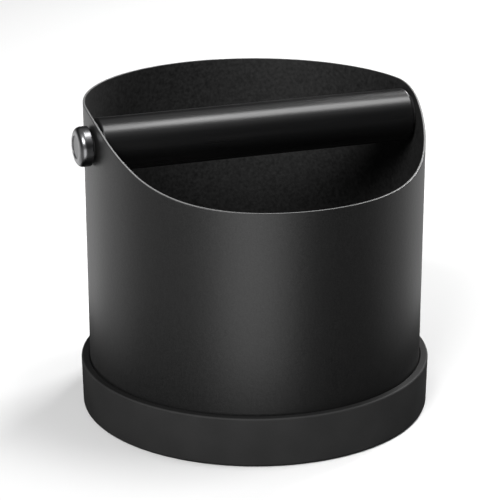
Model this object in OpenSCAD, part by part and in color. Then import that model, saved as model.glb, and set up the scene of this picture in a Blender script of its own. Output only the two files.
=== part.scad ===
// Round counter-top knock box: a steel drum with a cross bar, standing in a rubber boot.
// Origin: centre of the boot's underside. +Z is up, the low lip faces -Y, the bar lies along X.

/* [Drum] */
// Outer diameter of the drum
drum_d = 150; // [140:1:170]
// Thickness of the drum's steel sheet
drum_wall = 1; // [0.8:0.1:1.4]
// Height of the back rim above the table
back_rim_z = 140.5; // [140:0.5:150]
// Height of the front lip above the table
front_lip_z = 111.2; // [106:0.2:112]
// Outer radius of the drum's bottom edge
drum_bottom_r = 4; // [3:0.5:6]

/* [Rim curve, seen from the side] */
// How far behind the middle the rim starts to fall
rim_start_y = 11.3; // [8:0.1:14]
// Radius of the upper, convex bend
rim_convex_r = 49; // [40:1:54]
// Radius of the lower, concave bend
rim_concave_r = 87; // [86:1:92]
// Slope of the straight stretch between the bends, in degrees
rim_slope = 30; // [28:0.5:31]

/* [Boot] */
// Outer diameter of the boot at its top edge
boot_d = 157.8; // [157:0.2:162]
// Height of the boot
boot_h = 22.3; // [18:0.1:28]
// Thickness of the boot's floor
boot_floor = 3; // [2.5:0.1:4]
// Lean of the boot's outer wall, in degrees
boot_draft = 1; // [0:0.25:1.5]
// Radius of the boot's outer bottom edge
boot_edge_r = 1.5; // [1:0.25:3]

/* [Bar] */
// Height of the bar's axis above the table
bar_z = 126.2; // [122:0.2:127]
// Outer diameter of the rubber sleeve
sleeve_d = 23.5; // [22.5:0.1:26]
// Length of the rubber sleeve
sleeve_len = 144; // [110:0.2:144]
// Outer diameter of the steel tube inside the sleeve
tube_d = 19; // [18:0.1:20]
// Wall thickness of the steel tube
tube_wall = 1.2; // [1:0.1:1.6]
// Diameter of the rod that the tube turns on
rod_d = 8; // [7:0.5:9]

/* [Knob, on the left end] */
// Diameter of the knob
knob_d = 17.4; // [16:0.1:20]
// Length of the knob along the bar's axis
knob_len = 5.7; // [5:0.1:8]
// Radius of the knob's outer edge
knob_edge_r = 2.8; // [1:0.1:2.8]
// Gap between the drum and the knob, filled by the knob's washer
knob_stand_off = 1; // [1:0.1:2]
// Diameter of the disc set into the knob's end
disc_d = 10; // [7:0.1:10]
// Thread diameter of the rod's left end and of the knob
thread_d = 6; // [5:0.5:6]

/* [Rod's head, on the right end] */
// Diameter of the head
head_d = 14; // [13:0.5:14.4]
// Thickness of the head
head_h = 1.5; // [1.4:0.1:1.8]
// Width of its hexagonal socket, across the flats
socket_w = 4; // [3:0.5:5]

/* [Fits] */
// Radial clearance of a running fit
running_gap = 0.06; // [0.03:0.01:0.1]
// Gap between pieces that move past each other
moving_gap = 0.3; // [0.2:0.05:0.4]

/* [Hidden] */
$fn = 180;
overrun = 1;                                    // how far a cutter passes the face it opens
snug = 0.02;                                    // clearance of pieces fixed to each other
arc_overlap = 0.01;                             // the rim's arcs cross their tangents by this much
drum_r = drum_d / 2;
drum_z = boot_floor + 0.1;                      // underside of the drum
boot_r = boot_d / 2;
boot_bore_r = drum_r + 0.1;
boot_lip = 0.6;                                 // chamfer inside the boot's top edge
sleeve_r = sleeve_d / 2;
bar_end_x = sleeve_len / 2;
tube_r = tube_d / 2;
tube_bore_r = tube_r - tube_wall;
plug_flange = 0.5;
plug_len = 9;
rod_r = rod_d / 2;
thread_r = thread_d / 2;
shoulder_x = bar_end_x + moving_gap;            // where the rod steps down to its thread
spacer_r = 9.5;
collar_r = 5.2;                                 // the spacer's nose, inside the wall's hole
collar_end_x = drum_r - 0.3;                    // short of the wall's curved outside
washer_r = 7.2;
head_washer_t = 0.6;
head_x = drum_r + head_washer_t + 2 * snug;     // inner face of the rod's head
knob_x = drum_r + knob_stand_off;
knob_r = knob_d / 2;
disc_r = disc_d / 2;
disc_t = 0.8;
disc_sunk = 0.25;                               // how far the disc lies below the knob's end
disc_seat = disc_t + disc_sunk;
rod_end_x = knob_x + knob_len - disc_seat - 0.3;

// Outlines are convex lists of [radius, height, corner radius] that start and end on the axis.
function unit(v) = v / norm(v);
function point_of(corner) = [corner[0], corner[1]];
function arms(o, i) = [
    unit(point_of(o[i - 1]) - point_of(o[i])),
    unit(point_of(o[i + 1]) - point_of(o[i]))
];
function half_angle(o, i) = acos(arms(o, i)[0] * arms(o, i)[1]) / 2;
function corner_points(o, i) = o[i][2] == 0
    ? [point_of(o[i])]
    : [for (arm = arms(o, i)) point_of(o[i]) + arm * o[i][2] / tan(half_angle(o, i))];
function corner_centre(o, i) =
    point_of(o[i]) + unit(arms(o, i)[0] + arms(o, i)[1]) * o[i][2] / sin(half_angle(o, i));

// The round of a corner: the sector of its circle that faces the corner.
module corner_round(o, i) {
    centre = corner_centre(o, i);
    ends = corner_points(o, i);
    intersection() {
        translate(centre) circle(o[i][2], $fn = 48);
        polygon([centre, 2 * ends[0] - centre, 3 * point_of(o[i]) - 2 * centre, 2 * ends[1] - centre]);
    }
}

module turned(o) {
    rotate_extrude() {
        polygon([for (i = [0:len(o) - 1]) each corner_points(o, i)]);
        for (i = [1:len(o) - 2]) if (o[i][2] > 0) corner_round(o, i);
    }
}

// Puts a piece that is drawn along +Z from the drum's axis onto the bar's axis.
// side is 1 for the right end and -1 for the left end.
module along_bar(side) {
    translate([0, 0, bar_z]) rotate([0, side * 90, 0]) children();
}

// Everything below the rim's line, seen from the side: x is front to back, y is up.
module rim_side() {
    convex_dy = rim_convex_r * sin(rim_slope);
    convex_dz = rim_convex_r * (1 - cos(rim_slope));
    concave_dy = rim_concave_r * sin(rim_slope);
    concave_dz = rim_concave_r * (1 - cos(rim_slope));
    straight_dy = (back_rim_z - front_lip_z - convex_dz - concave_dz) / tan(rim_slope);
    corner_y = rim_start_y - rim_convex_r * tan(rim_slope / 2);
    shoulder_y = rim_start_y - convex_dy;
    foot_y = shoulder_y - straight_dy;
    level_y = foot_y - concave_dy;
    front_y = min(-drum_r, level_y) - overrun;
    difference() {
        polygon([[front_y, 0], [front_y, front_lip_z], [level_y, front_lip_z],
                 [foot_y, front_lip_z + concave_dz], [corner_y, back_rim_z],
                 [drum_r + overrun, back_rim_z], [drum_r + overrun, 0]]);
        difference() {
            translate([shoulder_y, back_rim_z - convex_dz])
                square([convex_dy, convex_dz + overrun]);
            translate([rim_start_y, back_rim_z - rim_convex_r])
                circle(rim_convex_r + arc_overlap);
        }
        translate([level_y, front_lip_z + rim_concave_r])
            circle(rim_concave_r + arc_overlap, $fn = 360);
    }
}

// Steel drum: one drawn cup with a rounded bottom edge, a curved rim and two holes for the rod.
module drum() {
    top_z = back_rim_z + overrun;
    inner_r = drum_r - drum_wall;
    floor_z = drum_z + drum_wall;
    color("#303032") difference() {
        intersection() {
            turned([[0, drum_z, 0], [drum_r, drum_z, drum_bottom_r], [drum_r, top_z, 0],
                    [0, top_z, 0]]);
            rotate([90, 0, 90])
                linear_extrude(height = drum_d + 2 * overrun, center = true) rim_side();
        }
        turned([[0, floor_z, 0], [inner_r, floor_z, drum_bottom_r - drum_wall],
                [inner_r, top_z + overrun, 0], [0, top_z + overrun, 0]]);
        along_bar(1)
            cylinder(r = collar_r + running_gap, h = drum_d + 2 * overrun, center = true);
    }
}

// Rubber boot: a shallow cup under the drum, with grip grooves in its underside.
module base_boot() {
    base_r = boot_r - boot_h * tan(boot_draft);
    groove_w = 1.6;
    groove_depth = 0.8;
    color("#3a3a3b") difference() {
        turned([[0, 0, 0], [base_r, 0, boot_edge_r], [boot_r, boot_h, 0.8], [0, boot_h, 0]]);
        turned([[0, boot_floor, 0], [boot_bore_r, boot_floor, drum_bottom_r - 1],
                [boot_bore_r, boot_h + overrun, 0], [0, boot_h + overrun, 0]]);
        translate([0, 0, boot_h - boot_lip])
            cylinder(r1 = boot_bore_r, r2 = boot_bore_r + 2 * boot_lip, h = 2 * boot_lip);
        for (groove_r = [24:12:60])
            translate([0, 0, -overrun]) difference() {
                cylinder(r = groove_r + groove_w, h = groove_depth + overrun);
                cylinder(r = groove_r, h = groove_depth + overrun);
            }
    }
}

// Steel rod across the drum: a low head outside the right wall, a plain shank, and a thread that
// is stepped down at the left spacer.
module headed_rod() {
    socket_r = socket_w / 2 / cos(30);
    socket_depth = head_h * 0.6;
    color("silver") {
        along_bar(-1) turned([[0, 0, 0], [thread_r, 0, 0], [thread_r, rod_end_x - 0.5, 0],
                              [thread_r - 0.5, rod_end_x, 0], [0, rod_end_x, 0]]);
        along_bar(1) difference() {
            union() {
                translate([0, 0, -shoulder_x]) cylinder(r = rod_r, h = shoulder_x + head_x + overrun);
                translate([0, 0, head_x])
                    turned([[0, 0, 0], [head_d / 2, 0, 0.2], [head_d / 2, head_h, 0.5], [0, head_h, 0]]);
            }
            translate([0, 0, head_x + head_h - socket_depth])
                cylinder(r = socket_r, h = socket_depth + overrun, $fn = 6);
        }
    }
}

// Steel tube that carries the rubber sleeve.
module bar_tube() {
    tube_len = sleeve_len - 2 * plug_flange;
    color("gainsboro") along_bar(1) difference() {
        cylinder(r = tube_r, h = tube_len, center = true);
        cylinder(r = tube_bore_r, h = tube_len + 2 * overrun, center = true);
    }
}

// Rubber sleeve that the basket is knocked on.
module bar_sleeve() {
    edge_r = 0.8;
    color("#1c1c1d") along_bar(1) difference() {
        turned([[0, -bar_end_x, 0], [sleeve_r, -bar_end_x, edge_r],
                [sleeve_r, bar_end_x, edge_r], [0, bar_end_x, 0]]);
        cylinder(r = tube_r + snug, h = sleeve_len + 2 * overrun, center = true);
    }
}

// Nylon plug that closes an end of the tube and runs on the rod.
module end_plug(side) {
    color("#2b2b2d") along_bar(side) difference() {
        union() {
            translate([0, 0, bar_end_x - plug_flange - plug_len])
                cylinder(r = tube_bore_r - snug, h = plug_len + plug_flange);
            translate([0, 0, bar_end_x - plug_flange])
                cylinder(r = tube_r - 0.2, h = plug_flange);
        }
        cylinder(r = rod_r + running_gap, h = bar_end_x + overrun);
    }
}

// Nylon spacer between the bar and the drum's inside, with a collar in the wall's hole.
module spacer(side, bore_r) {
    color("#343437") along_bar(side) difference() {
        union() {
            intersection() {
                translate([0, 0, shoulder_x]) cylinder(r = spacer_r, h = drum_r - shoulder_x);
                rotate([0, 90, 0])
                    cylinder(r = drum_r - drum_wall - snug, h = 4 * spacer_r, center = true,
                             $fn = 720);
            }
            translate([0, 0, shoulder_x]) cylinder(r = collar_r, h = collar_end_x - shoulder_x);
        }
        cylinder(r = bore_r, h = drum_r + overrun);
    }
}

// Rubber washer outside the drum, hollowed to the drum's curve. It ends at end_x.
module outer_washer(side, bore_r, wall_gap, end_x) {
    color("#161617") along_bar(side) difference() {
        translate([0, 0, drum_r - overrun]) cylinder(r = washer_r, h = end_x - drum_r + overrun);
        rotate([0, 90, 0])
            cylinder(r = drum_r + wall_gap, h = 4 * washer_r, center = true, $fn = 720);
        cylinder(r = bore_r, h = end_x + overrun);
    }
}

// Dark chromed knob: a nut with a rounded outer edge and a seat for its end disc.
module knob() {
    color("#55565a") along_bar(-1) translate([0, 0, knob_x]) difference() {
        turned([[0, 0, 0], [knob_r, 0, 0.4], [knob_r, knob_len, knob_edge_r], [0, knob_len, 0]]);
        translate([0, 0, -overrun])
            cylinder(r = thread_r + running_gap, h = knob_len + 2 * overrun);
        translate([0, 0, knob_len - disc_seat]) cylinder(r = disc_r, h = disc_seat + overrun);
    }
}

// Disc pressed into the end of the knob, over the rod's end.
module knob_disc() {
    color("#8b8c90") along_bar(-1) translate([0, 0, knob_x + knob_len - disc_seat])
        turned([[0, 0, 0], [disc_r - snug, 0, 0], [disc_r - snug, disc_t, 0.2], [0, disc_t, 0]]);
}

base_boot();
drum();
headed_rod();
bar_tube();
bar_sleeve();
end_plug(-1);  // left_end_plug
end_plug(1);  // right_end_plug
spacer(-1, thread_r + running_gap);  // left_spacer
spacer(1, rod_r + running_gap);  // right_spacer
outer_washer(1, rod_r + running_gap, snug, drum_r + snug + head_washer_t);  // head_washer
outer_washer(-1, thread_r + running_gap, moving_gap, knob_x - 0.1);  // knob_washer
knob();
knob_disc();
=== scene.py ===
"""Looks of a round counter-top knock box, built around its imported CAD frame. Lengths in metres."""

import math

import bpy
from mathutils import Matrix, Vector


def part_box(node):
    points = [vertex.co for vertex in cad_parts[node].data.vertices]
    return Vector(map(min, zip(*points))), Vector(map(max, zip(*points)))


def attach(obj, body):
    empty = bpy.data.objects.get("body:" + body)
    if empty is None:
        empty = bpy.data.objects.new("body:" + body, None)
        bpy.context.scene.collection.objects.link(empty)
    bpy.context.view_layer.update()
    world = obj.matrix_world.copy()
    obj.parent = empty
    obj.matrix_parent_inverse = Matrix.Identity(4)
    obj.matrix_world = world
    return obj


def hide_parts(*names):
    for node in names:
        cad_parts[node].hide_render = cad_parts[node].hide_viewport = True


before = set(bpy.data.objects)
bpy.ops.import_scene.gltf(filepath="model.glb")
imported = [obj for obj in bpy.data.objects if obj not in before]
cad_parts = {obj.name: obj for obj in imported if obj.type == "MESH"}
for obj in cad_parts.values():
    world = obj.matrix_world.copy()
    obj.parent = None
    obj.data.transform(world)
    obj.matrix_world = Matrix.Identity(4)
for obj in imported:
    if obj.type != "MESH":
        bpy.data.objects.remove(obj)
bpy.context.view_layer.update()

MM = 0.001
LEFT, RIGHT = -1, 1
SNUG = 0.02 * MM                # clearance of pieces fixed to each other
RUNNING_GAP = 0.06 * MM         # round a rod or a thread
MOVING_GAP = 0.3 * MM           # beside a part that moves


# ---------------------------------------------------------------- sizes

def node_size(cad_node):
    """(lowest corner, highest corner, size) of a CAD node."""
    low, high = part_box(cad_node)
    return low, high, high - low


DRUM_LOW, DRUM_HIGH, DRUM_SIZE = node_size("drum")
DRUM_R = DRUM_SIZE.x / 2
DRUM_WALL = 1.0 * MM
DRUM_EDGE_R = 4.0 * MM          # outer edge of the bottom
BACK_RIM_Z = DRUM_HIGH.z
FRONT_LIP_Z = 111.2 * MM
RIM_START_Y = 11.3 * MM         # the rim falls from here towards the front
RIM_CONVEX_R = 49.0 * MM
RIM_CONCAVE_R = 87.0 * MM
RIM_SLOPE = math.radians(30)
RIM_EDGE_R = 0.3 * MM           # softening of the cut edge
RIM_HIGHLIGHT_DEPTH = 0.03 * MM            # depth of its pale line, a painted highlight along the cut edge, partly its thinner coat
LEVEL_Z = 50.0 * MM             # the rows of the drum's mesh are level below this height

BOOT_H = node_size("base_boot")[1].z
BOOT_R = 78.9 * MM              # at the top edge
BOOT_DRAFT = math.radians(1)
BOOT_BORE_R = DRUM_R + 0.1 * MM
BOOT_LIP = 0.6 * MM
BOOT_EDGE_R = 0.8 * MM          # outer top edge
BOOT_FLOOR = 3.0 * MM
GROOVES = [r * MM for r in (24, 36, 48, 60)]
GROOVE_WIDTH = 1.6 * MM
GROOVE_DEPTH = 0.8 * MM

SLEEVE_LOW, SLEEVE_HIGH, SLEEVE_SIZE = node_size("bar_sleeve")
BAR_Z = (SLEEVE_LOW.z + SLEEVE_HIGH.z) / 2
SLEEVE_R = SLEEVE_SIZE.z / 2
SLEEVE_END = SLEEVE_HIGH.x
TUBE_R = node_size("bar_tube")[2].z / 2
TUBE_WALL = 1.2 * MM
PLUG_DEPTH = 9.0 * MM           # of the stem inside the tube
PLUG_FLANGE = 0.5 * MM

ROD_LOW, ROD_HIGH, ROD_SIZE = node_size("headed_rod")
ROD_R = 4.0 * MM
ROD_END = -ROD_LOW.x
SHOULDER_X = SLEEVE_END + MOVING_GAP
SHOULDER_CHAMFER = 0.3 * MM
THREAD_R = 3.0 * MM
THREAD_PITCH = 1.0 * MM
THREAD_DEPTH = 0.55 * MM
THREAD_CHAMFER = 0.5 * MM
HEAD_R = ROD_SIZE.z / 2
HEAD_END = ROD_HIGH.x
HEAD_HEIGHT = 1.5 * MM
SOCKET_R = 2.31 * MM            # to the corners of the hexagonal socket
SOCKET_DEPTH = 0.9 * MM
SPACER_R = node_size("right_spacer")[2].z / 2
COLLAR_R = 5.2 * MM
COLLAR_END = DRUM_R - 0.3 * MM
WALL_HOLE_R = COLLAR_R + 0.06 * MM
WASHER_R = node_size("knob_washer")[2].z / 2

KNOB_LOW, KNOB_HIGH, KNOB_SIZE = node_size("knob")
KNOB_BASE, KNOB_END = -KNOB_HIGH.x, -KNOB_LOW.x
KNOB_R = KNOB_SIZE.z / 2
KNOB_EDGE_R = 2.8 * MM
DISC_LOW, DISC_HIGH, DISC_SIZE = node_size("knob_disc")
DISC_BASE, DISC_END = -DISC_HIGH.x, -DISC_LOW.x
DISC_R = DISC_SIZE.z / 2
DISC_BORDER = 0.5 * MM
DISC_DISH = 0.12 * MM


def rim_height(y):
    """Height of the drum's rim at y: level, then a bend, a slope and a bend to the front lip."""
    convex_dy = RIM_CONVEX_R * math.sin(RIM_SLOPE)
    convex_dz = RIM_CONVEX_R * (1 - math.cos(RIM_SLOPE))
    concave_dy = RIM_CONCAVE_R * math.sin(RIM_SLOPE)
    concave_dz = RIM_CONCAVE_R * (1 - math.cos(RIM_SLOPE))
    straight_dy = (BACK_RIM_Z - FRONT_LIP_Z - convex_dz - concave_dz) / math.tan(RIM_SLOPE)
    run = RIM_START_Y - y
    if run <= 0:
        return BACK_RIM_Z
    if run <= convex_dy:
        return BACK_RIM_Z - RIM_CONVEX_R + math.sqrt(RIM_CONVEX_R ** 2 - run ** 2)
    if run <= convex_dy + straight_dy:
        return BACK_RIM_Z - convex_dz - (run - convex_dy) * math.tan(RIM_SLOPE)
    rest = max(convex_dy + straight_dy + concave_dy - run, 0)
    return FRONT_LIP_Z + RIM_CONCAVE_R - math.sqrt(RIM_CONCAVE_R ** 2 - rest ** 2)


# ---------------------------------------------------------------- mesh helpers

ON_AXIS = 1e-7                  # a smaller radius counts as none


def new_piece(name, verts, faces, sharp_deg=40):
    """A mesh object, smooth but for edges sharper than sharp_deg. Its flat faces look flat."""
    mesh = bpy.data.meshes.new(name)
    mesh.from_pydata(verts, [], faces)
    mesh.validate()
    obj = bpy.data.objects.new(name, mesh)
    bpy.context.scene.collection.objects.link(obj)
    mesh.polygons.foreach_set("use_smooth", [True] * len(mesh.polygons))
    mesh.set_sharp_from_angle(angle=math.radians(sharp_deg))
    obj.modifiers.new("flat_stays_flat", "WEIGHTED_NORMAL").keep_sharp = True
    return obj


def rounded(corners, steps=6):
    """Points of an outline whose corners are (radius, height, corner radius)."""
    points = []
    for i, (r, h, edge) in enumerate(corners):
        here = Vector((r, h))
        if edge == 0:
            points.append(here)
            continue
        before = Vector(corners[i - 1][:2])
        after = Vector(corners[(i + 1) % len(corners)][:2])
        back, on = (before - here).normalized(), (after - here).normalized()
        half = back.angle(on) / 2
        centre = here + (back + on).normalized() * edge / math.sin(half)
        first = here + back * edge / math.tan(half) - centre
        last = here + on * edge / math.tan(half) - centre
        sweep = math.pi - 2 * half
        for k in range(steps + 1):
            t = k / steps
            a, b = math.sin((1 - t) * sweep), math.sin(t * sweep)
            points.append(centre + (first * a + last * b) / math.sin(sweep))
    return [(p.x, p.y) for p in points]


def split_tall(points, tallest):
    """The outline with stretches that rise or fall by more than tallest cut into equal parts."""
    out = []
    for a, b in zip(points, points[1:]):
        parts = max(1, math.ceil(abs(b[1] - a[1]) / tallest))
        out += [tuple(Vector(a).lerp(Vector(b), k / parts)) for k in range(parts)]
    return out + [points[-1]]


def lathe(name, outline, place, turns=128, closed=False, sharp_deg=40):
    """Turns an outline of (radius, height) points, run so that the solid lies on its left.

    place(radius, angle, height) gives the position of a point.
    """
    verts, rings = [], []
    for r, h in outline:
        if r < ON_AXIS:
            rings.append([len(verts)] * turns)
            verts.append(place(0, 0, h))
            continue
        rings.append(list(range(len(verts), len(verts) + turns)))
        verts += [place(r, 2 * math.pi * k / turns, h) for k in range(turns)]
    faces = []
    for i in range(len(rings) if closed else len(rings) - 1):
        low, high = rings[i], rings[(i + 1) % len(rings)]
        for k in range(turns):
            n = (k + 1) % turns
            loop = [low[k], low[n], high[n], high[k]]
            face = [v for j, v in enumerate(loop) if v != loop[j - 1]]
            if len(face) > 2:
                faces.append(face)
    return new_piece(name, verts, faces, sharp_deg)


def cut(obj, cutter):
    """Takes the cutter out of the piece and deletes it. Weighted normals are off meanwhile."""
    taken = obj.modifiers.new("cut", "BOOLEAN")
    taken.operation, taken.solver, taken.object = "DIFFERENCE", "EXACT", cutter
    obj.modifiers.move(len(obj.modifiers) - 1, 0)
    weighted = obj.modifiers["flat_stays_flat"]
    weighted.show_viewport = False
    depsgraph = bpy.context.evaluated_depsgraph_get()
    obj.data = bpy.data.meshes.new_from_object(obj.evaluated_get(depsgraph))
    obj.modifiers.remove(taken)
    weighted.show_viewport = True
    bpy.data.objects.remove(cutter)


def mark(obj, name, holds):
    """Writes an attribute that is 1 at the vertices whose position passes the test, else 0."""
    layer = obj.data.attributes.new(name, "FLOAT", "POINT")
    layer.data.foreach_set("value", [float(holds(vert.co)) for vert in obj.data.vertices])


# Placings: each takes (radius, angle, height along the axis of turning) to a position.

def upright(r, angle, h):
    """Turned about the drum's axis."""
    return (r * math.cos(angle), r * math.sin(angle), h)


def along_bar(side):
    """Turned about the bar's axis; heights run from the drum's axis out to that side."""
    def place(r, angle, h):
        return (side * h, side * r * math.cos(angle), BAR_Z + r * math.sin(angle))
    return place


def along_bar_to_wall(side, near, wall_r, far):
    """Like along_bar, but heights near wall_r follow the round wall instead of a flat plane."""
    flat = along_bar(side)

    def place(r, angle, h):
        wall = math.sqrt(wall_r ** 2 - (r * math.cos(angle)) ** 2)
        if h < wall_r:
            bent = near + (h - near) * (wall - near) / (wall_r - near)
        else:
            bent = wall + (h - wall_r) * (far - wall) / (far - wall_r)
        return flat(r, angle, bent)
    return place


def in_drum(r, angle, h):
    """Turned about the drum's axis, with heights above LEVEL_Z lowered to follow the rim."""
    share = (h - LEVEL_Z) / (BACK_RIM_Z - RIM_EDGE_R - LEVEL_Z)
    fall = BACK_RIM_Z - rim_height(r * math.sin(angle))
    return upright(r, angle, h - fall * min(max(share, 0), 1))


def on_thread(r, angle, h):
    """Along the bar's axis, with a right-hand thread cut into the rod's stepped-down left end."""
    if h < -SHOULDER_X and r <= THREAD_R:
        depth = THREAD_DEPTH * min((-SHOULDER_X - h) / THREAD_PITCH, 1)
        turn = h / THREAD_PITCH - angle / (2 * math.pi)
        r = min(r, THREAD_R - depth * (0.5 - 0.5 * math.cos(2 * math.pi * turn)))
    return along_bar(RIGHT)(r, angle, h)


# ---------------------------------------------------------------- pieces

def drum_shell():
    """The drum: a drawn cup with a rounded bottom, a soft-edged rim and a hole at each side."""
    inner, floor = DRUM_R - DRUM_WALL, DRUM_LOW.z + DRUM_WALL
    outline = rounded([(0, DRUM_LOW.z, 0), (DRUM_R, DRUM_LOW.z, DRUM_EDGE_R),
                       (DRUM_R, BACK_RIM_Z, RIM_EDGE_R), (inner, BACK_RIM_Z, RIM_EDGE_R),
                       (inner, floor, DRUM_EDGE_R - DRUM_WALL), (0, floor, 0)])
    shell = lathe("drum_shell", split_tall(outline, 3 * MM), in_drum, turns=360)
    clear = DRUM_R + 5 * MM
    drill = [(0, -clear), (WALL_HOLE_R, -clear), (WALL_HOLE_R, clear), (0, clear)]
    cut(shell, lathe("drill", drill, along_bar(RIGHT), turns=96))
    inside_r = inner + 0.1 * MM
    # The pale line along the cut rim is a painted highlight, partly the thinner coat on the edge.
    mark(shell, "rim", lambda at: rim_height(at.y) - at.z < RIM_HIGHLIGHT_DEPTH)
    mark(shell, "inside", lambda at: at.xy.length < inside_r and at.z > floor - SNUG)
    return shell


def boot():
    """The boot: a shallow cup with crisp softened edges and grip grooves in its underside."""
    base_r = BOOT_R - BOOT_H * math.tan(BOOT_DRAFT)
    corners = [(0, 0, 0)]
    for groove_r in GROOVES:
        inner, outer = groove_r, groove_r + GROOVE_WIDTH
        corners += [(inner, 0, 0.2 * MM), (inner, GROOVE_DEPTH, 0.3 * MM),
                    (outer, GROOVE_DEPTH, 0.3 * MM), (outer, 0, 0.2 * MM)]
    corners += [(base_r, 0, 1.5 * MM), (BOOT_R, BOOT_H, BOOT_EDGE_R),
                (BOOT_BORE_R + BOOT_LIP, BOOT_H, 0.25 * MM),
                (BOOT_BORE_R, BOOT_H - BOOT_LIP, 0.3 * MM),
                (BOOT_BORE_R, BOOT_FLOOR, DRUM_EDGE_R - DRUM_WALL), (0, BOOT_FLOOR, 0)]
    cup = lathe("boot", split_tall(rounded(corners), 4 * MM), upright, turns=360)
    # The top face and the bore are marked for painted shade.
    top_r = BOOT_R - BOOT_EDGE_R
    mark(cup, "inside", lambda at: at.xy.length < top_r and at.z > BOOT_FLOOR - SNUG)
    return cup


def sleeve():
    """The rubber sleeve: a thick tube with rounded ends."""
    bore = TUBE_R + SNUG
    outline = rounded([(bore, -SLEEVE_END, 0.3 * MM), (SLEEVE_R, -SLEEVE_END, 0.8 * MM),
                       (SLEEVE_R, SLEEVE_END, 0.8 * MM), (bore, SLEEVE_END, 0.3 * MM)])
    outline = split_tall(outline + outline[:1], 5 * MM)[:-1]
    return lathe("sleeve", outline, along_bar(RIGHT), closed=True)


def tube():
    """The steel tube under the sleeve."""
    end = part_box("bar_tube")[1].x
    bore = TUBE_R - TUBE_WALL
    outline = rounded([(bore, -end, 0.2 * MM), (TUBE_R, -end, 0.2 * MM),
                       (TUBE_R, end, 0.2 * MM), (bore, end, 0.2 * MM)], steps=3)
    return lathe("tube", outline, along_bar(RIGHT), closed=True)


def end_plug(name, side):
    """The flanged nylon plug in an end of the tube, running on the rod."""
    bore, stem_r = ROD_R + RUNNING_GAP, TUBE_R - TUBE_WALL - SNUG
    flange_r, flange = TUBE_R - 0.2 * MM, SLEEVE_END - PLUG_FLANGE
    start = flange - PLUG_DEPTH
    outline = rounded([(bore, start, 0.3 * MM), (stem_r, start, 0.6 * MM),
                       (stem_r, flange, 0), (flange_r, flange, 0.1 * MM),
                       (flange_r, SLEEVE_END, 0.15 * MM), (bore, SLEEVE_END, 0.3 * MM)])
    return lathe(name, outline, along_bar(side), turns=96, closed=True)


def rod():
    """The rod: a thread at the left, a plain shank, and a low head with a hexagonal socket."""
    thread = split_tall([(THREAD_R, -ROD_END + THREAD_CHAMFER), (THREAD_R, -SHOULDER_X)],
                        THREAD_PITCH / 8)
    shoulder = [(ROD_R - SHOULDER_CHAMFER, -SHOULDER_X), (ROD_R, -SHOULDER_X + SHOULDER_CHAMFER)]
    head = rounded([(ROD_R, HEAD_END - HEAD_HEIGHT, 0), (HEAD_R, HEAD_END - HEAD_HEIGHT, 0.2 * MM),
                    (HEAD_R, HEAD_END, 0.5 * MM), (0, HEAD_END, 0)])
    outline = [(0, -ROD_END), (THREAD_R - THREAD_CHAMFER, -ROD_END), *thread, *shoulder, *head]
    piece = lathe("through_rod", outline, on_thread, turns=72)
    bottom, top = HEAD_END - SOCKET_DEPTH, HEAD_END + 1 * MM
    key = [(0, bottom), (SOCKET_R, bottom), (SOCKET_R, top), (0, top)]
    cut(piece, lathe("key", key, along_bar(RIGHT), turns=6, sharp_deg=20))
    return piece


def spacer(name, side, bore):
    """A nylon spacer: flat towards the bar, hollowed to the wall, its collar in the wall's hole."""
    wall_r = DRUM_R - DRUM_WALL - SNUG
    outline = rounded([(bore, SHOULDER_X, 0.2 * MM), (SPACER_R, SHOULDER_X, 0.4 * MM),
                       (SPACER_R, wall_r, 0.1 * MM), (COLLAR_R, wall_r, 0),
                       (COLLAR_R, COLLAR_END, 0.2 * MM), (bore, COLLAR_END, 0)])
    place = along_bar_to_wall(side, SHOULDER_X, wall_r, COLLAR_END)
    return lathe(name, outline, place, turns=96, closed=True)


def washer(name, side, bore, wall_r, end):
    """A rubber washer outside the drum, hollowed to the wall."""
    outline = rounded([(bore, wall_r, 0), (WASHER_R, wall_r, 0.1 * MM),
                       (WASHER_R, end, 0.15 * MM), (bore, end, 0)])
    place = along_bar_to_wall(side, SHOULDER_X, wall_r, end)
    return lathe(name, outline, place, turns=96, closed=True)


def knob():
    """The knob: a turned nut with a rounded outer edge and a seat for its disc."""
    bore, seat_r = THREAD_R + RUNNING_GAP, DISC_R + SNUG
    outline = rounded([(bore, KNOB_BASE, 0.3 * MM), (KNOB_R, KNOB_BASE, 0.4 * MM),
                       (KNOB_R, KNOB_END, KNOB_EDGE_R), (seat_r, KNOB_END, 0.12 * MM),
                       (seat_r, DISC_BASE, 0), (bore, DISC_BASE, 0.1 * MM)], steps=12)
    return lathe("screw_knob", outline, along_bar(LEFT), closed=True)


def knob_disc():
    """The disc in the knob's end: a thin raised border round a slightly dished middle."""
    border_r = DISC_R - DISC_BORDER
    floor_r, floor_x = border_r - DISC_DISH, DISC_END - DISC_DISH
    outline = rounded([(0, DISC_BASE, 0), (DISC_R, DISC_BASE, 0), (DISC_R, DISC_END, 0.15 * MM),
                       (border_r, DISC_END, 0.1 * MM), (floor_r, floor_x, 0)])
    rings = 8
    for k in range(1, rings + 1):
        share = 1 - k / rings
        outline.append((floor_r * share, floor_x - DISC_DISH * (1 - share ** 2)))
    return lathe("end_disc", outline, along_bar(LEFT), turns=96)


# ---------------------------------------------------------------- materials

NOISE_RANGE = (0.3, 0.7)        # nearly all values of a noise lie within it


def node(owner, kind, **values):
    """A node of that kind. Values are properties, or sockets by name with _ for a space."""
    made = owner.node_tree.nodes.new(kind)
    for key, value in values.items():
        if hasattr(made, key):
            setattr(made, key, value)
        else:
            made.inputs[key.replace("_", " ")].default_value = value
    return made


def link(owner, out_node, out_socket, in_node, in_socket):
    """Links an output to an input, each given by its name or its number."""
    owner.node_tree.links.new(out_node.outputs[out_socket], in_node.inputs[in_socket])


def smooth_step(owner, source, socket, start, full, top=1.0):
    """A smooth change from 0 where the source is at start to top where it is at full."""
    made = node(owner, "ShaderNodeMapRange", interpolation_type="SMOOTHSTEP",
                From_Min=start, From_Max=full, To_Max=top)
    link(owner, source, socket, made, "Value")
    return made


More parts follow.
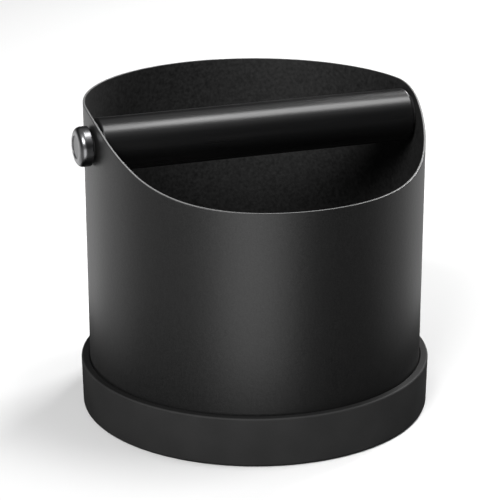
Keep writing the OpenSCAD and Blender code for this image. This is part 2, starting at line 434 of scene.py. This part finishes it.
def calculate(owner, operation, first, second):
    """A Math node on the first outputs of two nodes."""
    made = node(owner, "ShaderNodeMath", operation=operation)
    link(owner, first, 0, made, 0)
    link(owner, second, 0, made, 1)
    return made


def shader_of(mat):
    """The material's Principled shader."""
    return mat.node_tree.nodes["Principled BSDF"]


def grey(value):
    """A neutral colour."""
    return (value, value, value)


def new_material(name, color, roughness, metallic=0.0):
    """A plain Principled material; what varies over the surface is added to it."""
    mat = bpy.data.materials.new(name)
    mat.use_nodes = True
    shader = shader_of(mat)
    shader.inputs["Base Color"].default_value = (*color, 1)
    shader.inputs["Roughness"].default_value = roughness
    shader.inputs["Metallic"].default_value = metallic
    return mat


def noise(mat, grain_size, detail=2.0, stretch=(1, 1, 1)):
    """Noise in the object's own space, with features of about grain_size metres."""
    coords = node(mat, "ShaderNodeTexCoord")
    mapping = node(mat, "ShaderNodeMapping", Scale=stretch)
    made = node(mat, "ShaderNodeTexNoise", Scale=1 / grain_size, Detail=detail)
    link(mat, coords, "Object", mapping, "Vector")
    link(mat, mapping, "Vector", made, "Vector")
    return made


def color_ramp(mat, source, dark, light):
    """A colour that goes from dark to light as the noise goes from low to high."""
    ramp = node(mat, "ShaderNodeValToRGB")
    for element, position, color in zip(ramp.color_ramp.elements, NOISE_RANGE, (dark, light)):
        element.position = position
        element.color = (*color, 1)
    link(mat, source, "Fac", ramp, "Fac")
    return ramp


def vary_color(mat, source, dark, light):
    """Base colour from dark to light as the noise goes from low to high."""
    link(mat, color_ramp(mat, source, dark, light), "Color", shader_of(mat), "Base Color")


def vary_roughness(mat, source, low, high):
    """Roughness from low to high as the noise goes from low to high."""
    noise_low, noise_high = NOISE_RANGE
    rough = node(mat, "ShaderNodeMapRange", From_Min=noise_low, From_Max=noise_high,
                 To_Min=low, To_Max=high)
    link(mat, source, "Fac", rough, "Value")
    link(mat, rough, "Result", shader_of(mat), "Roughness")


def mix_by_attribute(mat, attribute, elsewhere, there):
    """One colour where the mesh's attribute is 0, another where it is 1."""
    share = node(mat, "ShaderNodeAttribute", attribute_name=attribute)
    mix = node(mat, "ShaderNodeMixRGB")
    link(mat, share, "Fac", mix, "Fac")
    link(mat, elsewhere, "Color", mix, "Color1")
    link(mat, there, "Color", mix, "Color2")
    return mix


def bump(mat, layers):
    """Bump from (noise, strength, depth in metres) layers, one over the other."""
    below = None
    for source, strength, depth in layers:
        made = node(mat, "ShaderNodeBump", Strength=strength, Distance=depth)
        link(mat, source, "Fac", made, "Height")
        if below:
            link(mat, below, "Normal", made, "Normal")
        below = made
    link(mat, below, "Normal", shader_of(mat), "Normal")


def powder_coat():
    """Matt black powder coat: fine grained, coarser and duller inside, with a pale line on the cut
    rim that is a painted highlight, partly its thinner coat.
    """
    outer_roughness, inner_roughness = 0.42, 0.62
    mat = new_material("powder_coat", grey(0.008), outer_roughness)
    grain = noise(mat, 0.7 * MM, detail=3)
    peel = noise(mat, 2.2 * MM)
    mottle = noise(mat, 1.5 * MM, detail=6)
    outer = color_ramp(mat, grain, grey(0.004), grey(0.012))
    inner = color_ramp(mat, mottle, grey(0.0015), grey(0.02))
    # Colour of the rim's pale line: a painted highlight, partly the thinner coat on the edge.
    rim = node(mat, "ShaderNodeRGB")
    rim.outputs["Color"].default_value = (*grey(0.14), 1)
    coat = mix_by_attribute(mat, "inside", outer, inner)
    link(mat, mix_by_attribute(mat, "rim", coat, rim), "Color", shader_of(mat), "Base Color")
    inside = node(mat, "ShaderNodeAttribute", attribute_name="inside")
    rough = node(mat, "ShaderNodeMapRange", To_Min=outer_roughness, To_Max=inner_roughness)
    link(mat, inside, "Fac", rough, "Value")
    link(mat, rough, "Result", shader_of(mat), "Roughness")
    bump(mat, [(peel, 0.25, 0.15 * MM), (grain, 0.3, 0.06 * MM)])
    return mat


def boot_rubber():
    """Matt black rubber with a fine moulded grain; painted shade makes its top face and bore
    blacker.
    """
    mat = new_material("boot_rubber", grey(0.02), 0.7)
    shader_of(mat).inputs["Specular IOR Level"].default_value = 0.25
    grain = noise(mat, 0.5 * MM, detail=3)
    clouds = noise(mat, 15 * MM, detail=4)
    outer = color_ramp(mat, clouds, grey(0.018), grey(0.023))
    # Painted shade: the top face and bore are made blacker than the rubber.
    inner = color_ramp(mat, clouds, grey(0.005), grey(0.008))
    mixed = mix_by_attribute(mat, "inside", outer, inner)
    link(mat, mixed, "Color", shader_of(mat), "Base Color")
    vary_roughness(mat, grain, 0.66, 0.74)
    bump(mat, [(grain, 0.25, 0.05 * MM)])
    return mat


def sleeve_rubber():
    """Satin black rubber, extruded: faint lines run along the bar."""
    mat = new_material("sleeve_rubber", (0.005, 0.005, 0.0051), 0.3)
    lines = noise(mat, 1.2 * MM, detail=3, stretch=(0.03, 1, 1))
    grain = noise(mat, 0.35 * MM)
    vary_color(mat, grain, (0.004, 0.004, 0.0042), (0.006, 0.006, 0.0062))
    vary_roughness(mat, lines, 0.27, 0.33)
    bump(mat, [(lines, 0.15, 0.05 * MM), (grain, 0.2, 0.03 * MM)])
    return mat


def washer_rubber():
    """Dull black rubber sheet."""
    mat = new_material("washer_rubber", grey(0.012), 0.7)
    grain = noise(mat, 0.3 * MM)
    vary_color(mat, grain, grey(0.01), grey(0.016))
    vary_roughness(mat, grain, 0.65, 0.78)
    bump(mat, [(grain, 0.3, 0.03 * MM)])
    return mat


def nylon():
    """Black moulded nylon with a slight grain."""
    mat = new_material("nylon", (0.04, 0.04, 0.042), 0.42)
    grain = noise(mat, 0.6 * MM, detail=3)
    vary_color(mat, grain, (0.035, 0.035, 0.037), (0.048, 0.048, 0.05))
    vary_roughness(mat, grain, 0.38, 0.5)
    bump(mat, [(grain, 0.2, 0.03 * MM)])
    return mat


def steel():
    """Turned and brushed steel: fine rings round the bar's axis."""
    mat = new_material("steel", (0.6, 0.6, 0.61), 0.28, metallic=1)
    rings = noise(mat, 0.25 * MM, stretch=(1, 0.04, 0.04))
    vary_color(mat, rings, (0.5, 0.5, 0.51), (0.68, 0.68, 0.69))
    vary_roughness(mat, rings, 0.22, 0.36)
    bump(mat, [(rings, 0.2, 0.02 * MM)])
    return mat


def dark_chrome():
    """Dark chrome with a trace of handling marks."""
    mat = new_material("dark_chrome", (0.2, 0.2, 0.205), 0.35, metallic=1)
    smears = noise(mat, 5 * MM, detail=5)
    vary_color(mat, smears, (0.17, 0.17, 0.175), (0.23, 0.23, 0.235))
    vary_roughness(mat, smears, 0.27, 0.36)
    bump(mat, [(noise(mat, 0.5 * MM), 0.05, 0.02 * MM)])
    return mat


def disc_chrome():
    """Satin dark chrome, slightly cloudy, with a fine grain."""
    mat = new_material("disc_chrome", (0.21, 0.21, 0.215), 0.4, metallic=1)
    clouds = noise(mat, 1.5 * MM, detail=3)
    vary_color(mat, clouds, (0.16, 0.16, 0.165), (0.22, 0.22, 0.225))
    vary_roughness(mat, clouds, 0.36, 0.44)
    bump(mat, [(noise(mat, 0.3 * MM), 0.08, 0.02 * MM)])
    return mat


MATERIALS = {make.__name__: make() for make in (
    powder_coat, boot_rubber, sleeve_rubber, washer_rubber, nylon, steel, dark_chrome, disc_chrome)}


# ---------------------------------------------------------------- the object

def show(obj, body, slot, cad_node):
    """Shows a piece in place of its CAD node, riding on its body, in the record slot's material."""
    obj.data.materials.clear()
    obj.data.materials.append(MATERIALS[slot])
    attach(obj, body)
    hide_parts(cad_node)


show(boot(), "boot", "boot_rubber", "base_boot")
show(drum_shell(), "drum", "powder_coat", "drum")
show(rod(), "drum", "steel", "headed_rod")
show(tube(), "bar", "steel", "bar_tube")
show(sleeve(), "bar", "sleeve_rubber", "bar_sleeve")
for word, side, rod_r in (("left", LEFT, THREAD_R), ("right", RIGHT, ROD_R)):
    show(end_plug(f"{word}_plug", side), "bar", "nylon", f"{word}_end_plug")
    show(spacer(f"{word}_wall_spacer", side, rod_r + RUNNING_GAP),
         "drum", "nylon", f"{word}_spacer")
show(washer("rod_washer", RIGHT, ROD_R + RUNNING_GAP, DRUM_R + SNUG, HEAD_END - HEAD_HEIGHT - SNUG),
     "drum", "washer_rubber", "head_washer")
show(washer("nut_washer", LEFT, THREAD_R + RUNNING_GAP, DRUM_R + MOVING_GAP, KNOB_BASE - 0.1 * MM),
     "knob_washer", "washer_rubber", "knob_washer")
show(knob(), "knob", "dark_chrome", "knob")
show(knob_disc(), "knob", "disc_chrome", "knob_disc")


# ---------------------------------------------------------------- camera, floor and light

# Bearings are level directions from the drum's axis, in degrees from the camera's to its right.

CAMERA_AT = Vector((-0.2882, -0.7476, 0.3468))
CAMERA_TURN = math.radians(-20.93)      # about the drum's axis, from straight in front
CAMERA_TILT = math.radians(19.06)       # downwards
CAMERA_LENS, CAMERA_SENSOR = 135.86, 36         # mm
CAMERA_CLIP = 10 * MM
LAMP_AIM_Z = 70 * MM                    # about half the object's height

FLOOR_R = 1.5
FLOOR_COLOR, FLOOR_ROUGHNESS = 0.78, 0.9
PAINTED_SHADE_FLOOR_R, CLEAR_FLOOR_R = 0.15, 0.18        # painted shade: mirrored as black within the first, clear beyond

# Soft upright panels round the object: (bearing, degrees to either side of it, brightness).
PANELS = [(-1, 31, 2.1275), (-10, 50, 0.345), (-75, 45, 0.345), (-120, 38, 1.012),
          (-148, 25, 0.575), (70, 35, 0.069), (122, 38, 0.6325), (148, 25, 0.46), (180, 25, 0.92)]
PANEL_TOP, PANEL_FULL = 0.2, -0.15      # sines of the heights where they have faded and are full
DOME_FROM, DOME_FULL = 0.5, 0.8         # sines of the heights where the ceiling starts and is full
DOME_BRIGHTNESS = 0.3


def toward(bearing):
    """The level direction of a bearing."""
    angle = CAMERA_TURN + math.radians(bearing)
    return Vector((math.sin(angle), -math.cos(angle), 0))


def aim(obj, direction):
    """Turns a camera or lamp to look in that direction, upright."""
    obj.rotation_euler = direction.to_track_quat("-Z", "Y").to_euler()


def put_camera():
    """The camera at the photograph's angle."""
    camera = bpy.data.objects.new("camera", bpy.data.cameras.new("camera"))
    bpy.context.scene.collection.objects.link(camera)
    camera.data.sensor_width = CAMERA_SENSOR
    camera.data.lens = CAMERA_LENS
    camera.data.clip_start = CAMERA_CLIP
    camera.location = CAMERA_AT
    down = Vector((0, 0, -math.sin(CAMERA_TILT)))
    aim(camera, down - toward(0) * math.cos(CAMERA_TILT))
    bpy.context.scene.camera = camera


def softbox(name, bearing, distance, height, width, tall, brightness):
    """A rectangular light aimed at the object; brightness is its radiance."""
    light = bpy.data.lights.new(name, "AREA")
    light.shape = "RECTANGLE"
    light.size, light.size_y = width, tall
    light.energy = brightness * width * tall * math.pi
    lamp = bpy.data.objects.new(name, light)
    bpy.context.scene.collection.objects.link(lamp)
    lamp.location = toward(bearing) * distance + Vector((0, 0, height))
    aim(lamp, Vector((0, 0, LAMP_AIM_Z)) - lamp.location)


def put_floor():
    """A plain pale round floor. In gloss it is painted black near the object, a painted shade that
    the drum mirrors low down, and clear further out.
    """
    floor = lathe("floor", [(0, 0), (FLOOR_R, 0)], upright)
    mat = new_material("floor_white", grey(FLOOR_COLOR), FLOOR_ROUGHNESS)
    floor.data.materials.append(mat)
    coords = node(mat, "ShaderNodeTexCoord")
    away = node(mat, "ShaderNodeVectorMath", operation="LENGTH")
    link(mat, coords, "Object", away, "Vector")
    clearness = smooth_step(mat, away, "Value", PAINTED_SHADE_FLOOR_R, CLEAR_FLOOR_R)
    mirrored = node(mat, "ShaderNodeMixShader")
    link(mat, clearness, "Result", mirrored, "Fac")
    # Black to glossy rays near the object: painted shade for the drum's low part to mirror.
    link(mat, node(mat, "ShaderNodeEmission", Strength=0.0), "Emission", mirrored, 1)
    link(mat, node(mat, "ShaderNodeBsdfTransparent"), "BSDF", mirrored, 2)
    either = node(mat, "ShaderNodeMixShader")
    link(mat, node(mat, "ShaderNodeLightPath"), "Is Glossy Ray", either, "Fac")
    link(mat, shader_of(mat), "BSDF", either, 1)
    link(mat, mirrored, "Shader", either, 2)
    link(mat, either, "Shader", mat.node_tree.nodes["Material Output"], "Surface")


def put_world():
    """White to the camera. As a light it is black, with the panels and a faint ceiling."""
    world = bpy.data.worlds.new("studio")
    bpy.context.scene.world = world
    world.use_nodes = True
    coords = node(world, "ShaderNodeTexCoord")
    parts = node(world, "ShaderNodeSeparateXYZ")
    flat = node(world, "ShaderNodeCombineXYZ")
    level = node(world, "ShaderNodeVectorMath", operation="NORMALIZE")
    link(world, coords, "Generated", parts, "Vector")
    link(world, parts, "X", flat, "X")
    link(world, parts, "Y", flat, "Y")
    link(world, flat, "Vector", level, 0)
    panels = node(world, "ShaderNodeValue")
    panels.outputs["Value"].default_value = 0.0
    for bearing, reach, brightness in PANELS:
        facing = node(world, "ShaderNodeVectorMath", operation="DOT_PRODUCT")
        facing.inputs[1].default_value = toward(bearing)
        link(world, level, "Vector", facing, 0)
        edge = math.cos(math.radians(reach))
        panel = smooth_step(world, facing, "Value", edge, 1.0, brightness)
        panels = calculate(world, "ADD", panels, panel)
    height = smooth_step(world, parts, "Z", PANEL_TOP, PANEL_FULL)
    dome = smooth_step(world, parts, "Z", DOME_FROM, DOME_FULL, DOME_BRIGHTNESS)
    light = calculate(world, "ADD", calculate(world, "MULTIPLY", panels, height), dome)
    seen = node(world, "ShaderNodeMixRGB", Color2=(1, 1, 1, 1))
    link(world, node(world, "ShaderNodeLightPath"), "Is Camera Ray", seen, "Fac")
    link(world, light, "Value", seen, "Color1")
    link(world, seen, "Color", world.node_tree.nodes["Background"], "Color")


put_camera()
put_floor()
put_world()
softbox("overhead", bearing=94, distance=0.53, height=1.55, width=0.6, tall=0.6, brightness=11)
softbox("front_left", bearing=-26, distance=1.05, height=1.0, width=0.7, tall=0.5, brightness=18)
softbox("back_right", bearing=145, distance=1.2, height=0.9, width=0.5, tall=0.5, brightness=21)
bpy.context.scene.view_settings.view_transform = "Standard"
